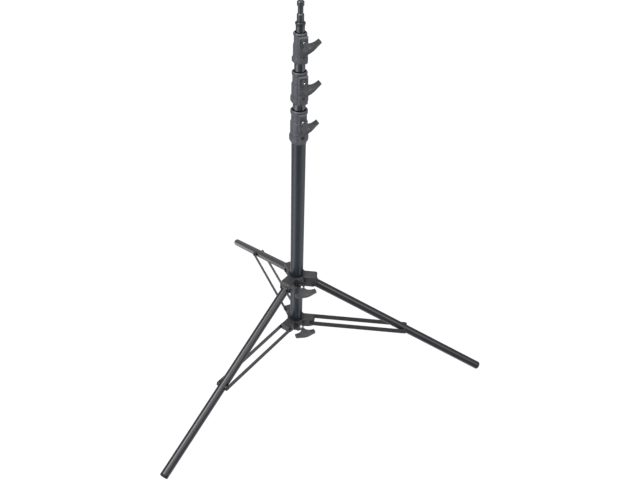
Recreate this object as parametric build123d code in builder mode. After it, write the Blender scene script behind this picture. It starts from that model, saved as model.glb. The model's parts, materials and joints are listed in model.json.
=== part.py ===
from build123d import *
import os
from math import atan2, cos, degrees, radians, sin, sqrt

# Folding light stand: three braced tubular legs on a sliding hub, a base tube and three nested risers.
# Millimetres, +Z up. Origin: on the column's axis, on the floor that the three feet stand on.
# Leg 1 points along +X, legs 2 and 3 follow counter-clockwise. All clamp knobs stand at KNOB_AZIMUTH.

# ---- driving dimensions ----------------------------------------------------------------------
LEG_AZIMUTHS = (0, 120, 240)
KNOB_AZIMUTH = 300
FIT = 0.05  # running clearance, on the radius, of a pin or screw in its hole
SLIDE_GAP = 0.3  # clearance, on the radius, between parts that slide on each other
NEST = 0.02  # gap, on the radius, of parts that are pressed or glued together
SEAT = 0.05  # gap under a head, a nut or a shoulder
OVERCUT = 1.0  # how far a cutting shape runs past the surface that it opens

# legs
LEG_SLOPE = 29.1  # degrees below horizontal
LEG_RADIUS = 11.25
LEG_WALL = 1.5
LEG_LENGTH = 573.0  # hub pivot to the end of the foot
LEG_TUBE_START = 11.6  # the end block shows above this, and the tube begins
LEG_PLUG_DEPTH = 42.0
FOOT_CAP = 7.0
FOOT_PLUG = 26.0
FOOT_PLUG_BORE = 6.5
FOOT_ROUND = 2.5
HUB_PIVOT_RADIUS = 48.0
BRACE_BOLT_AT = 306.5  # hub pivot to the brace bolt, along the leg

# braces
BRACE_PIVOT_RADIUS = 48.0
BRACE_PIVOT_HEIGHT = 136.2
BAR_OFFSET = 15.0  # middle of each bar, sideways from the leg's plane
BAR_THICKNESS = 1.6
BAR_HEIGHT = 15.2
BAR_BEAD_WIDTH = 4.5
BAR_BEAD_DEPTH = 0.5
PIN_RADIUS = 3.0
HEAD_RADIUS = 5.5
HEAD_HEIGHT = 3.0
HEAD_TAPER = 25.0
SPACER_RADIUS = 6.5
SPACER_SADDLE = 3.5  # how far a spacer's skirt would reach into the leg before it is hollowed
BOLT_END_GAP = 0.35  # from the end of the leg's bolt and spacers to the inside of a bar

# leg hub and brace collar castings
HUB_BOTTOM = 279.0
CASTING_HEIGHT = 33.0
CASTING_RADIUS = 25.0
CASTING_BORE = 19.8
CASTING_ROUND = 1.6
LUG_HALF_WIDTH = 14.3
LUG_INNER = 11.75
HUB_LUG_REACH = 56.0
HUB_LUG_TOE = (7.0, 14.0)  # slope under a lug's end: run and rise
HUB_LUG_NOSE = 4.0  # chamfer on top of a lug's end
POCKET_START = 33.0  # each lug is hollow outside this radius, for the leg's end
POCKET_SLOPE = 5.0
POCKET_GAP = 0.9  # over the leg's end
PIVOT_BOLT_RADIUS = 4.0
PIVOT_HEAD_RADIUS = 6.3
PIVOT_HEAD_TAPER = 22.0
PIVOT_NUT_FLATS = 11.0
BRACE_LUG_HALF_WIDTH = 13.8
BRACE_LUG_REACH = 54.0
BRACE_LUG_BELOW = 11.0  # a lug's underside and top, from the pivot
BRACE_LUG_ABOVE = 9.5
BRACE_LUG_RAKE = 4.0  # step of the slopes under a lug
BRACE_LUG_NOSE = 3.0
BRACE_COLLAR_BOTTOM = 111.5
BRACE_COLLAR_LIP = 2.0
BUSH_FLANGE = 20.8
FLANGE_HEIGHT = 1.5
RIB_ROUND = 3.0
RIB_DEPTH = 4.0  # how far the clamp screw's rib stands out of the casting
BOSS_RADIUS = 8.5
BOSS_REACH = 37.0

# column: the base tube, then the risers from the widest to the narrowest
BASE_RADIUS = 17.5
BASE_WALL = 1.5
BASE_BOTTOM = 109.0
END_CAP_FLANGE = 3.0
END_CAP_ROUND = 1.2
END_CAP_WALL = 3.0
END_CAP_TOP = 119.8
RISER_RADII = (15.0, 12.5, 10.0)
RISER_WALLS = (1.5, 1.2, 1.5)
BUSH_SLEEVE = 70.0
BUSH_FLOOR = 3.0
STACK_GAP = 0.3

# mast collars, from the lowest to the highest
COLLAR_TOPS = (816.3, 910.2, 998.6)
COLLAR_HEIGHTS = (86.5, 78.2, 69.6)
COLLAR_RIM_RADII = (20.4, 17.9, 15.5)
COLLAR_NECK_RADII = (18.6, 16.4, 13.8)
COLLAR_WAIST_RADII = (20.7, 18.5, 15.6)
COLLAR_FOOT_RADII = (23.1, 20.8, 18.1)
COLLAR_STATIONS = (  # below the collar's top: both ends of the rim, neck, waist and foot
    (2.0, 9.0, 12.5, 29.0, 32.0, 62.0, 68.0, 78.0),
    (2.3, 6.5, 11.0, 26.0, 31.0, 57.0, 62.5, 71.0),
    (2.3, 5.4, 9.6, 23.4, 28.4, 53.4, 57.4, 64.4),
)
COLLAR_ROUND = 1.2
RIM_CHAMFER = 2.2
COLLAR_LIP = 0.8  # the collar's lower edge stands this far off its tube
SPINE_REACH = (24.5, 24.5, 21.0)
SPINE_HALF_WIDTHS = (10.0, 11.5, 11.0)
SPINE_TOP_DROP = 5.0
SPINE_HEEL = 7.0  # height of the sloping heel at the spine's lower end
SPINE_CHAMFER = 3.0
SPINE_ROUND = 2.5
PAD_GAP = 4.5  # from the slotted pad under a knob to the knob's base
PAD_MARGIN = 2.6
PAD_SLOT = 6.0
KNOB_DROP = (25.0, 20.0, 17.4)  # knob axis below each collar's top
KNOB_BASES = (30.0, 35.5, 29.0)  # distance of each knob's base from the column's axis
KNOB_TURNS = (31.0, 31.0, 31.0)  # rest angle of each knob's wings, degrees above horizontal
RIVET_SHANK = 1.8
RIVET_HEAD = 1.1
RIVET_TAPER = 30.0
SPINE_RIVET_RISE = 21.0  # rivet on the spine, above the collar's lower end
BACK_RIVET_RISES = (13.5, 11.5, 9.0)  # rivet on the back of each collar's foot
SEAT_DROP = 16.0  # the clamped tube ends this far below the knob's axis
THROAT_STEP = 0.25  # the collar's throat is this much narrower than its tube
THROAT_LIP = 2.5
SHOE_PLAY = 0.4
SHOE_WIDTH = 9.0
SHOE_HEIGHT = 12.0
SHOE_DEPTH = 3.6

# T-knobs
WING_SPAN = 56.0
LOWER_WING_SPAN = 59.0  # the knobs of the hub and of the brace collar
WING_THICKNESS = 8.0
WING_INNER = 17.2  # inner and outer edge of a wing's tip, from the knob's base
LOWER_WING_INNER = 15.8
WING_OUTER = 27.0
WING_ROUND = 1.0
KNOB_STEM_RADIUS = 5.8
KNOB_CROWN = 4.2  # half the width of the flat between the wings' sloping outer edges
KNOB_LENGTH = 32.8
KNOB_FLARE = ((0.55, 1.0), (0.31, 4.5))  # inner edge of a wing: share of half the span, drop
SCREW_RADIUS = 4.0
SCREW_DEPTH = 14.0  # how far the screw reaches into its knob
SCREW_POINT = 0.8
GRIP_GROOVES = 4
GRIP_PITCH = 2.9
GRIP_START = 4.0  # from a wing's tip to its first groove
GRIP_RADIUS = 0.8
HUB_KNOB_BASE = 43.5
HUB_KNOB_TURN = 1.0
BRACE_KNOB_BASE = 46.0
BRACE_KNOB_TURN = -2.0

# top spigot
STUD_RADIUS = 7.94
STUD_WAIST = 6.0
STUD_PIN_RADIUS = 1.5
FERRULE_RADIUS = 11.5
FERRULE_BOTTOM = 1012.0
FERRULE_TOP = 1021.0
FERRULE_DEPTH = 30.0  # how far the ferrule reaches down into the top riser
STUD_DEPTH = 28.0
STUD_PIN_DROP = 15.0
STUD_LAND_TOP = 1036.5
STUD_HEAD_BOTTOM = 1055.5
STUD_TOP = 1065.0

# ---- derived positions -----------------------------------------------------------------------
slope_cos = cos(radians(LEG_SLOPE))
slope_sin = sin(radians(LEG_SLOPE))
foot_drop = (LEG_RADIUS - FOOT_ROUND) * slope_cos + FOOT_ROUND - FOOT_ROUND * slope_sin
HUB_PIVOT_HEIGHT = LEG_LENGTH * slope_sin + foot_drop
HUB_TOP = HUB_BOTTOM + CASTING_HEIGHT
HUB_KNOB_HEIGHT = HUB_TOP - CASTING_HEIGHT * 2 / 3
BRACE_COLLAR_TOP = BRACE_COLLAR_BOTTOM + CASTING_HEIGHT
brace_bolt_radius = HUB_PIVOT_RADIUS + BRACE_BOLT_AT * slope_cos
brace_bolt_height = HUB_PIVOT_HEIGHT - BRACE_BOLT_AT * slope_sin
bar_run = brace_bolt_radius - BRACE_PIVOT_RADIUS
bar_rise = brace_bolt_height - BRACE_PIVOT_HEIGHT
bar_length = sqrt(bar_run**2 + bar_rise**2)
BAR_SLOPE = degrees(atan2(bar_rise, bar_run))
bar_inner = BAR_OFFSET - BAR_THICKNESS / 2
bar_outer = BAR_OFFSET + BAR_THICKNESS / 2
TUBE_RADII = (BASE_RADIUS,) + RISER_RADII[:2]  # the tube that each mast collar is fixed to
TUBE_WALLS = (BASE_WALL,) + RISER_WALLS[:2]
STAGES = ("lower", "middle", "upper")
STUD_PIN_HEIGHT = FERRULE_BOTTOM - STUD_PIN_DROP

os.makedirs("parts", exist_ok=True)


# ---- helpers ---------------------------------------------------------------------------------
def save(builder, label):
    """Labels a finished sub-part and writes it to its own STEP file."""
    builder.part.label = label
    export_step(builder.part, f"parts/{label}.step")


def upright(azimuth):
    """Vertical plane through the column's axis: local x points outward and local y up."""
    a = radians(azimuth)
    return Plane(origin=(0, 0, 0), x_dir=(cos(a), sin(a), 0), z_dir=(sin(a), -cos(a), 0))


def facing(azimuth, distance, height, turn=0.0):
    """Plane square to a radius of the column: local z points outward, and local y up at turn 0."""
    a = radians(azimuth)
    t = radians(turn)
    outward = Vector(cos(a), sin(a), 0)
    origin = outward * distance + Vector(0, 0, height)
    return Plane(origin=origin, x_dir=(-sin(a) * cos(t), cos(a) * cos(t), sin(t)), z_dir=outward)


def down_leg(azimuth, distance):
    """Plane square to a leg, at a distance from its hub pivot: local z points down the leg."""
    a = radians(azimuth)
    outward = Vector(cos(a), sin(a), 0)
    direction = outward * slope_cos - Vector(0, 0, slope_sin)
    pivot = outward * HUB_PIVOT_RADIUS + Vector(0, 0, HUB_PIVOT_HEIGHT)
    return Plane(origin=pivot + direction * distance, x_dir=(-sin(a), cos(a), 0), z_dir=direction)


def along_bar(azimuth, across=0.0):
    """Plane of a brace: origin at its inner pivot, local x along the bar, normal across the leg."""
    a = radians(azimuth)
    outward = Vector(cos(a), sin(a), 0)
    normal = Vector(sin(a), -cos(a), 0)
    pivot = outward * BRACE_PIVOT_RADIUS + Vector(0, 0, BRACE_PIVOT_HEIGHT) + normal * across
    s = radians(BAR_SLOPE)
    return Plane(origin=pivot, x_dir=outward * cos(s) + Vector(0, 0, sin(s)), z_dir=normal)


def across_pivot(azimuth, radius, height, across):
    """Plane on a sideways pivot axis, moved along the axis: local z points along the axis."""
    a = radians(azimuth)
    normal = Vector(sin(a), -cos(a), 0)
    origin = Vector(radius * cos(a), radius * sin(a), height) + normal * across
    return Plane(origin=origin, x_dir=(cos(a), sin(a), 0), z_dir=normal)


def disc(plane, radius, depth, mode=Mode.ADD):
    """A cylinder that starts on a plane, inside the part being built."""
    with BuildSketch(plane) as section:
        Circle(radius)
    extrude(section.sketch, amount=depth, mode=mode)


def ring(plane, outer, inner, depth):
    """A tube that starts on a plane, inside the part being built."""
    with BuildSketch(plane) as section:
        Circle(outer)
        Circle(inner, mode=Mode.SUBTRACT)
    extrude(section.sketch, amount=depth)


# ---- legs ------------------------------------------------------------------------------------
def leg_tube(number, azimuth):
    """Round tube from the hub to the foot cap, cross-drilled for the brace bolt."""
    with BuildPart() as tube:
        length = LEG_LENGTH - FOOT_CAP - LEG_TUBE_START
        ring(down_leg(azimuth, LEG_TUBE_START), LEG_RADIUS, LEG_RADIUS - LEG_WALL, length)
        with BuildSketch(across_pivot(azimuth, brace_bolt_radius, brace_bolt_height, 0)):
            Circle(PIN_RADIUS + NEST)
        extrude(amount=LEG_RADIUS + OVERCUT, both=True, mode=Mode.SUBTRACT)
    save(tube, f"leg_tube_{number}")


def leg_plug(number, azimuth):
    """Solid end block in the leg's upper end, bored for the pivot bolt."""
    bore = LEG_RADIUS - LEG_WALL - NEST
    head = LEG_TUBE_START - 0.2
    with BuildPart() as plug:
        disc(down_leg(azimuth, 0), LEG_RADIUS - SEAT, head)
        with BuildSketch(across_pivot(azimuth, HUB_PIVOT_RADIUS, HUB_PIVOT_HEIGHT, 0)):
            Circle(head)
        extrude(amount=bore - 0.5, both=True)
        disc(down_leg(azimuth, head), bore, LEG_PLUG_DEPTH - head)
        with BuildSketch(across_pivot(azimuth, HUB_PIVOT_RADIUS, HUB_PIVOT_HEIGHT, 0)):
            Circle(PIVOT_BOLT_RADIUS + FIT)
        extrude(amount=LEG_RADIUS + OVERCUT, both=True, mode=Mode.SUBTRACT)
    save(plug, f"leg_plug_{number}")


def leg_foot(number, azimuth):
    """Rubber foot: a rounded cap flush with the tube, on a plug inside it."""
    with BuildPart() as foot:
        disc(down_leg(azimuth, LEG_LENGTH - FOOT_CAP), LEG_RADIUS, FOOT_CAP)
        end = foot.edges().filter_by(GeomType.CIRCLE).sort_by(Axis.Z)[0]
        fillet(end, FOOT_ROUND)
        start = LEG_LENGTH - FOOT_CAP - FOOT_PLUG
        ring(down_leg(azimuth, start), LEG_RADIUS - LEG_WALL - NEST, FOOT_PLUG_BORE, FOOT_PLUG)
    save(foot, f"leg_foot_{number}")


def leg_bolt(number, azimuth):
    """Shank of the brace bolt, which crosses the leg between the two bars."""
    half = bar_inner - BOLT_END_GAP
    with BuildPart() as bolt:
        plane = across_pivot(azimuth, brace_bolt_radius, brace_bolt_height, -half)
        disc(plane, PIN_RADIUS, 2 * half)
    save(bolt, f"leg_bolt_{number}")


def leg_spacers(number, azimuth):
    """Two plastic washers, saddled to the leg, that hold the bars off the tube."""
    outside = bar_inner - BOLT_END_GAP
    inside = LEG_RADIUS - SPACER_SADDLE
    with BuildPart() as spacers:
        for side in (-1, 1):
            plane = across_pivot(azimuth, brace_bolt_radius, brace_bolt_height, side * inside)
            ring(plane, SPACER_RADIUS, PIN_RADIUS + NEST, side * (outside - inside))
        start = down_leg(azimuth, BRACE_BOLT_AT - 2 * SPACER_RADIUS)
        disc(start, LEG_RADIUS + NEST, 4 * SPACER_RADIUS, mode=Mode.SUBTRACT)
    save(spacers, f"leg_spacers_{number}")


# ---- braces ----------------------------------------------------------------------------------
def brace_bars(number, azimuth):
    """Pair of flat steel bars, one on each side of the leg, with a pressed bead along each."""
    with BuildPart() as bars:
        for side in (-1, 1):
            inside = side * bar_inner
            with BuildSketch(along_bar(azimuth, inside)):
                with Locations((bar_length / 2, 0)):
                    SlotCenterToCenter(bar_length, BAR_HEIGHT)
                with Locations((0, 0), (bar_length, 0)):
                    Circle(PIN_RADIUS + FIT, mode=Mode.SUBTRACT)
            extrude(amount=side * BAR_THICKNESS)
            outside = side * bar_outer
            with BuildSketch(along_bar(azimuth, outside)):
                with Locations((bar_length / 2, 0)):
                    SlotCenterToCenter(bar_length - 4 * HEAD_RADIUS, BAR_BEAD_WIDTH)
            extrude(amount=-side * BAR_BEAD_DEPTH, mode=Mode.SUBTRACT)
    save(bars, f"brace_bars_{number}")


def domed_head(azimuth, radius, height, side):
    """Low domed head that stands on the outer face of a bar."""
    plane = across_pivot(azimuth, radius, height, side * (bar_outer + 0.1))
    with BuildSketch(plane) as section:
        Circle(HEAD_RADIUS)
    extrude(section.sketch, amount=side * HEAD_HEIGHT, taper=HEAD_TAPER)


def brace_rivets(number, azimuth):
    """Heads of the brace bolt, with the spigots that the bars' outer eyes turn on."""
    with BuildPart() as rivets:
        for side in (-1, 1):
            domed_head(azimuth, brace_bolt_radius, brace_bolt_height, side)
            plane = across_pivot(azimuth, brace_bolt_radius, brace_bolt_height, side * bar_inner)
            disc(plane, PIN_RADIUS, side * (BAR_THICKNESS + 0.2))
    save(rivets, f"brace_rivets_{number}")


def brace_pins():
    """Three pins through the brace collar's lugs, with a domed head outside each bar."""
    with BuildPart() as pins:
        for azimuth in LEG_AZIMUTHS:
            reach = bar_outer + 0.2
            plane = across_pivot(azimuth, BRACE_PIVOT_RADIUS, BRACE_PIVOT_HEIGHT, -reach)
            disc(plane, PIN_RADIUS, 2 * reach)
            for side in (-1, 1):
                domed_head(azimuth, BRACE_PIVOT_RADIUS, BRACE_PIVOT_HEIGHT, side)
    save(pins, "brace_pins")


# ---- hub and brace collar --------------------------------------------------------------------
def knob_boss(height, bottom):
    """Boss and rib on a casting, where the clamp screw goes in."""
    with BuildSketch(facing(KNOB_AZIMUTH, 0, bottom + CASTING_HEIGHT / 2)) as rib:
        RectangleRounded(2 * BOSS_RADIUS, CASTING_HEIGHT - 2, RIB_ROUND)
    extrude(rib.sketch, amount=CASTING_RADIUS + RIB_DEPTH)
    disc(facing(KNOB_AZIMUTH, 0, height), BOSS_RADIUS, BOSS_REACH)


def leg_hub():
    """Upper casting: a ring that slides on the column, with three open lugs for the legs."""
    with BuildPart() as hub:
        disc(Plane.XY.offset(HUB_BOTTOM), CASTING_RADIUS, CASTING_HEIGHT)
        for azimuth in LEG_AZIMUTHS:
            with BuildSketch(upright(azimuth)):
                with BuildLine():
                    Polyline(
                        (0, HUB_BOTTOM),
                        (HUB_LUG_REACH - HUB_LUG_TOE[0], HUB_BOTTOM),
                        (HUB_LUG_REACH, HUB_BOTTOM + HUB_LUG_TOE[1]),
                        (HUB_LUG_REACH, HUB_TOP - HUB_LUG_NOSE),
                        (HUB_LUG_REACH - HUB_LUG_NOSE, HUB_TOP),
                        (0, HUB_TOP),
                        close=True,
                    )
                make_face()
            extrude(amount=LUG_HALF_WIDTH, both=True)
        top_edges = hub.edges().filter_by_position(Axis.Z, HUB_TOP - 0.1, HUB_TOP + 0.1)
        fillet(top_edges, CASTING_ROUND)
        knob_boss(HUB_KNOB_HEIGHT, HUB_BOTTOM)
        roof = HUB_PIVOT_HEIGHT + LEG_RADIUS + POCKET_GAP
        for azimuth in LEG_AZIMUTHS:
            with BuildSketch(upright(azimuth)):
                with BuildLine():
                    Polyline(
                        (POCKET_START, HUB_BOTTOM - OVERCUT),
                        (POCKET_START, roof - POCKET_SLOPE),
                        (POCKET_START + POCKET_SLOPE, roof),
                        (HUB_LUG_REACH + OVERCUT, roof),
                        (HUB_LUG_REACH + OVERCUT, HUB_BOTTOM - OVERCUT),
                        close=True,
                    )
                make_face()
            extrude(amount=LUG_INNER, both=True, mode=Mode.SUBTRACT)
            with BuildSketch(across_pivot(azimuth, HUB_PIVOT_RADIUS, HUB_PIVOT_HEIGHT, 0)):
                Circle(PIVOT_BOLT_RADIUS + NEST)
            extrude(amount=LUG_HALF_WIDTH + OVERCUT, both=True, mode=Mode.SUBTRACT)
        below = Plane.XY.offset(HUB_BOTTOM - OVERCUT)
        disc(below, CASTING_BORE, CASTING_HEIGHT + 2 * OVERCUT, mode=Mode.SUBTRACT)
        hole_plane = facing(KNOB_AZIMUTH, BASE_RADIUS, HUB_KNOB_HEIGHT)
        disc(hole_plane, SCREW_RADIUS + FIT, BOSS_REACH, mode=Mode.SUBTRACT)
    save(hub, "leg_hub")


def brace_collar():
    """Lower casting: a ring clamped on the column, with three solid lugs between the bars."""
    lug_bottom = BRACE_PIVOT_HEIGHT - BRACE_LUG_BELOW
    lug_top = BRACE_PIVOT_HEIGHT + BRACE_LUG_ABOVE
    with BuildPart() as collar:
        disc(Plane.XY.offset(BRACE_COLLAR_BOTTOM), CASTING_RADIUS, CASTING_HEIGHT)
        for azimuth in LEG_AZIMUTHS:
            with BuildSketch(upright(azimuth)):
                with BuildLine():
                    Polyline(
                        (0, lug_bottom - 2 * BRACE_LUG_RAKE),
                        (BRACE_LUG_REACH - 3.5 * BRACE_LUG_RAKE, lug_bottom - BRACE_LUG_RAKE),
                        (BRACE_LUG_REACH - BRACE_LUG_RAKE, lug_bottom),
                        (BRACE_LUG_REACH, lug_bottom + BRACE_LUG_RAKE + 1),
                        (BRACE_LUG_REACH, lug_top - BRACE_LUG_NOSE),
                        (BRACE_LUG_REACH - BRACE_LUG_NOSE, lug_top),
                        (0, lug_top),
                        close=True,
                    )
                make_face()
            extrude(amount=BRACE_LUG_HALF_WIDTH, both=True)
        knob_boss(BRACE_PIVOT_HEIGHT, BRACE_COLLAR_BOTTOM)
        recess = Plane.XY.offset(BRACE_COLLAR_TOP)
        disc(recess, CASTING_RADIUS - BRACE_COLLAR_LIP, CASTING_HEIGHT, mode=Mode.SUBTRACT)
        below = Plane.XY.offset(BRACE_COLLAR_BOTTOM - OVERCUT)
        disc(below, CASTING_BORE, CASTING_HEIGHT + 2 * OVERCUT, mode=Mode.SUBTRACT)
        for azimuth in LEG_AZIMUTHS:
            with BuildSketch(across_pivot(azimuth, BRACE_PIVOT_RADIUS, BRACE_PIVOT_HEIGHT, 0)):
                Circle(PIN_RADIUS + FIT)
            extrude(amount=BRACE_LUG_HALF_WIDTH + OVERCUT, both=True, mode=Mode.SUBTRACT)
        hole_plane = facing(KNOB_AZIMUTH, BASE_RADIUS, BRACE_PIVOT_HEIGHT)
        disc(hole_plane, SCREW_RADIUS + FIT, BOSS_REACH, mode=Mode.SUBTRACT)
    save(collar, "brace_collar")


def casting_bush(label, bottom, inner, knob_height):
    """Black plastic sleeve in a casting's bore, with a flange that shows on top."""
    with BuildPart() as bush:
        outer = CASTING_BORE - NEST
        flange = bottom + CASTING_HEIGHT + NEST
        ring(Plane.XY.offset(bottom + 0.5), outer, inner, CASTING_HEIGHT)
        ring(Plane.XY.offset(flange), BUSH_FLANGE, inner, FLANGE_HEIGHT)
        hole_plane = facing(KNOB_AZIMUTH, 0, knob_height)
        disc(hole_plane, SCREW_RADIUS + 0.5, BOSS_REACH, mode=Mode.SUBTRACT)
    save(bush, label)


def leg_pivot_bolts():
    """Three bolts through the hub's lugs, each with its head on one side and a nut on the other."""
    seat = LUG_HALF_WIDTH + SEAT
    with BuildPart() as bolts:
        for azimuth in LEG_AZIMUTHS:
            plane = across_pivot(azimuth, HUB_PIVOT_RADIUS, HUB_PIVOT_HEIGHT, -seat)
            disc(plane, PIVOT_BOLT_RADIUS, 2 * seat)
            head = across_pivot(azimuth, HUB_PIVOT_RADIUS, HUB_PIVOT_HEIGHT, seat)
            with BuildSketch(head):
                Circle(PIVOT_HEAD_RADIUS)
            extrude(amount=HEAD_HEIGHT, taper=PIVOT_HEAD_TAPER)
            nut = across_pivot(azimuth, HUB_PIVOT_RADIUS, HUB_PIVOT_HEIGHT, -seat)
            with BuildSketch(nut):
                RegularPolygon(PIVOT_NUT_FLATS / 2, 6, major_radius=False)
            extrude(amount=-HEAD_HEIGHT)
    save(bolts, "leg_pivot_bolts")


# ---- column ----------------------------------------------------------------------------------
def collar_seat(stage):
    """Height where the clamped tube ends inside its collar and the guide bush begins."""
    return COLLAR_TOPS[stage] - KNOB_DROP[stage] - SEAT_DROP


def rivet_spots(stage):
    """Azimuth, height and seat radius of a collar's two rivets: on its spine and on its back."""
    bottom = COLLAR_TOPS[stage] - COLLAR_HEIGHTS[stage]
    on_spine = (KNOB_AZIMUTH, bottom + SPINE_RIVET_RISE, SPINE_REACH[stage])
    on_back = (KNOB_AZIMUTH - 180, bottom + BACK_RIVET_RISES[stage], COLLAR_FOOT_RADII[stage])
    return on_spine, on_back


def column_tube(label, stage, bottom):
    """A tube of the column that carries a mast collar: plain, with two rivet holes."""
    radius = TUBE_RADII[stage]
    with BuildPart() as tube:
        ring(Plane.XY.offset(bottom), radius, radius - TUBE_WALLS[stage], collar_seat(stage) - bottom)
        for azimuth, height, _ in rivet_spots(stage):
            plane = facing(azimuth, 0, height)
            disc(plane, RIVET_SHANK + NEST, radius + OVERCUT, mode=Mode.SUBTRACT)
    save(tube, label)


def base_end_cap():
    """Plastic plug that closes the base tube's lower end."""
    with BuildPart() as cap:
        disc(Plane.XY.offset(BASE_BOTTOM - END_CAP_FLANGE), BASE_RADIUS, END_CAP_FLANGE)
        rim = cap.edges().filter_by(GeomType.CIRCLE).sort_by(Axis.Z)[0]
        fillet(rim, END_CAP_ROUND)
        inside = BASE_RADIUS - BASE_WALL - NEST
        disc(Plane.XY.offset(BASE_BOTTOM), inside, END_CAP_TOP - BASE_BOTTOM)
        hollow = END_CAP_TOP - BASE_BOTTOM - 2
        disc(Plane.XY.offset(BASE_BOTTOM), inside - END_CAP_WALL, hollow, mode=Mode.SUBTRACT)
    save(cap, "base_end_cap")


def riser_bottom(stage):
    """Underside of a riser's tube: each riser's bush stands on the one below."""
    return END_CAP_TOP + STACK_GAP + BUSH_FLOOR + stage * (BUSH_FLOOR + STACK_GAP)


def riser_bush(stage):
    """Plastic guide on a riser's lower end: it centres the riser and stops it in the collar above."""
    outer = TUBE_RADII[stage] - TUBE_WALLS[stage] - SLIDE_GAP
    bottom = riser_bottom(stage)
    with BuildPart() as bush:
        disc(Plane.XY.offset(bottom - BUSH_FLOOR), outer, BUSH_FLOOR)
        ring(Plane.XY.offset(bottom), outer, RISER_RADII[stage] + NEST, BUSH_SLEEVE)
    save(bush, f"riser_{stage + 1}_bush")


def mast_collar(stage):
    """Clamp casting on the top of a tube: rim, neck, waist and thick foot, with a spine for the knob."""
    tube = TUBE_RADII[stage]
    top = COLLAR_TOPS[stage]
    bottom = top - COLLAR_HEIGHTS[stage]
    rim = COLLAR_RIM_RADII[stage]
    neck = COLLAR_NECK_RADII[stage]
    waist = COLLAR_WAIST_RADII[stage]
    foot = COLLAR_FOOT_RADII[stage]
    stations = COLLAR_STATIONS[stage]
    reach = SPINE_REACH[stage]
    seat = collar_seat(stage)
    knob_height = top - KNOB_DROP[stage]
    with BuildPart() as collar:
        with BuildSketch(Plane.XZ):
            with BuildLine():
                Polyline(
                    (0, top),
                    (rim - RIM_CHAMFER, top),
                    (rim, top - stations[0]),
                    (rim, top - stations[1]),
                    (neck, top - stations[2]),
                    (neck, top - stations[3]),
                    (waist, top - stations[4]),
                    (waist, top - stations[5]),
                    (foot, top - stations[6]),
                    (foot, top - stations[7]),
                    (tube + COLLAR_LIP, bottom),
                    (0, bottom),
                    close=True,
                )
            make_face()
        revolve(axis=Axis.Z)
        rings = collar.edges().filter_by(GeomType.CIRCLE)
        fillet(rings.filter_by_position(Axis.Z, top - stations[7] - 1, top - stations[0] + 1), COLLAR_ROUND)
        with BuildSketch(upright(KNOB_AZIMUTH)):
            with BuildLine():
                Polyline(
                    (0, bottom),
                    (tube + COLLAR_LIP, bottom),
                    (reach - SPINE_CHAMFER / 2, bottom + SPINE_HEEL - SPINE_CHAMFER / 2),
                    (reach, bottom + SPINE_HEEL + 1),
                    (reach, top - SPINE_TOP_DROP - SPINE_CHAMFER),
                    (reach - SPINE_CHAMFER, top - SPINE_TOP_DROP),
                    (0, top - SPINE_TOP_DROP),
                    close=True,
                )
            make_face()
        extrude(amount=SPINE_HALF_WIDTHS[stage], both=True)
        front = facing(KNOB_AZIMUTH, 2 * reach, knob_height)
        face = collar.faces().sort_by_distance(front.origin)[0]
        fillet(face.edges().filter_by(Axis.Z), SPINE_ROUND)
        with BuildSketch(facing(KNOB_AZIMUTH, 0, knob_height - 1)):
            SlotCenterToCenter(PAD_SLOT, 2 * (SCREW_RADIUS + PAD_MARGIN), rotation=90)
        extrude(amount=KNOB_BASES[stage] - PAD_GAP)
        below = Plane.XY.offset(bottom - OVERCUT)
        disc(below, tube + NEST, seat - bottom + OVERCUT, mode=Mode.SUBTRACT)
        throat = Plane.XY.offset(seat - OVERCUT)
        disc(throat, tube - THROAT_STEP, top - seat + 2 * OVERCUT, mode=Mode.SUBTRACT)
        hole = facing(KNOB_AZIMUTH, RISER_RADII[stage], knob_height)
        disc(hole, SCREW_RADIUS + FIT, reach, mode=Mode.SUBTRACT)
        with BuildSketch(hole):
            Rectangle(SHOE_WIDTH + SHOE_PLAY, SHOE_HEIGHT + SHOE_PLAY)
        extrude(amount=SHOE_DEPTH + SLIDE_GAP + SHOE_PLAY / 2, mode=Mode.SUBTRACT)
        for azimuth, height, _ in rivet_spots(stage):
            disc(facing(azimuth, 0, height), RIVET_SHANK + NEST, 2 * foot, mode=Mode.SUBTRACT)
    save(collar, f"mast_collar_{STAGES[stage]}")


def guide_bush(stage):
    """Plastic sleeve in the collar's throat that guides the riser, with a window for the brake shoe."""
    seat = collar_seat(stage) + 0.2
    top = COLLAR_TOPS[stage] - THROAT_LIP
    with BuildPart() as bush:
        outer = TUBE_RADII[stage] - THROAT_STEP - NEST
        ring(Plane.XY.offset(seat), outer, RISER_RADII[stage] + SLIDE_GAP, top - seat)
        with BuildSketch(facing(KNOB_AZIMUTH, 0, COLLAR_TOPS[stage] - KNOB_DROP[stage])):
            Rectangle(SHOE_WIDTH + SHOE_PLAY, SHOE_HEIGHT + SHOE_PLAY)
        extrude(amount=2 * outer, mode=Mode.SUBTRACT)
    save(bush, f"guide_bush_{STAGES[stage]}")


def brake_shoe(stage):
    """Small block between the clamp screw and the riser."""
    riser = RISER_RADII[stage]
    height = COLLAR_TOPS[stage] - KNOB_DROP[stage]
    with BuildPart() as shoe:
        with BuildSketch(facing(KNOB_AZIMUTH, riser - SHOE_DEPTH, height)):
            Rectangle(SHOE_WIDTH, SHOE_HEIGHT)
        extrude(amount=2 * SHOE_DEPTH)
        disc(Plane.XY.offset(height - SHOE_HEIGHT), riser + SLIDE_GAP, 2 * SHOE_HEIGHT, mode=Mode.SUBTRACT)
    save(shoe, f"brake_shoe_{STAGES[stage]}")


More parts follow.
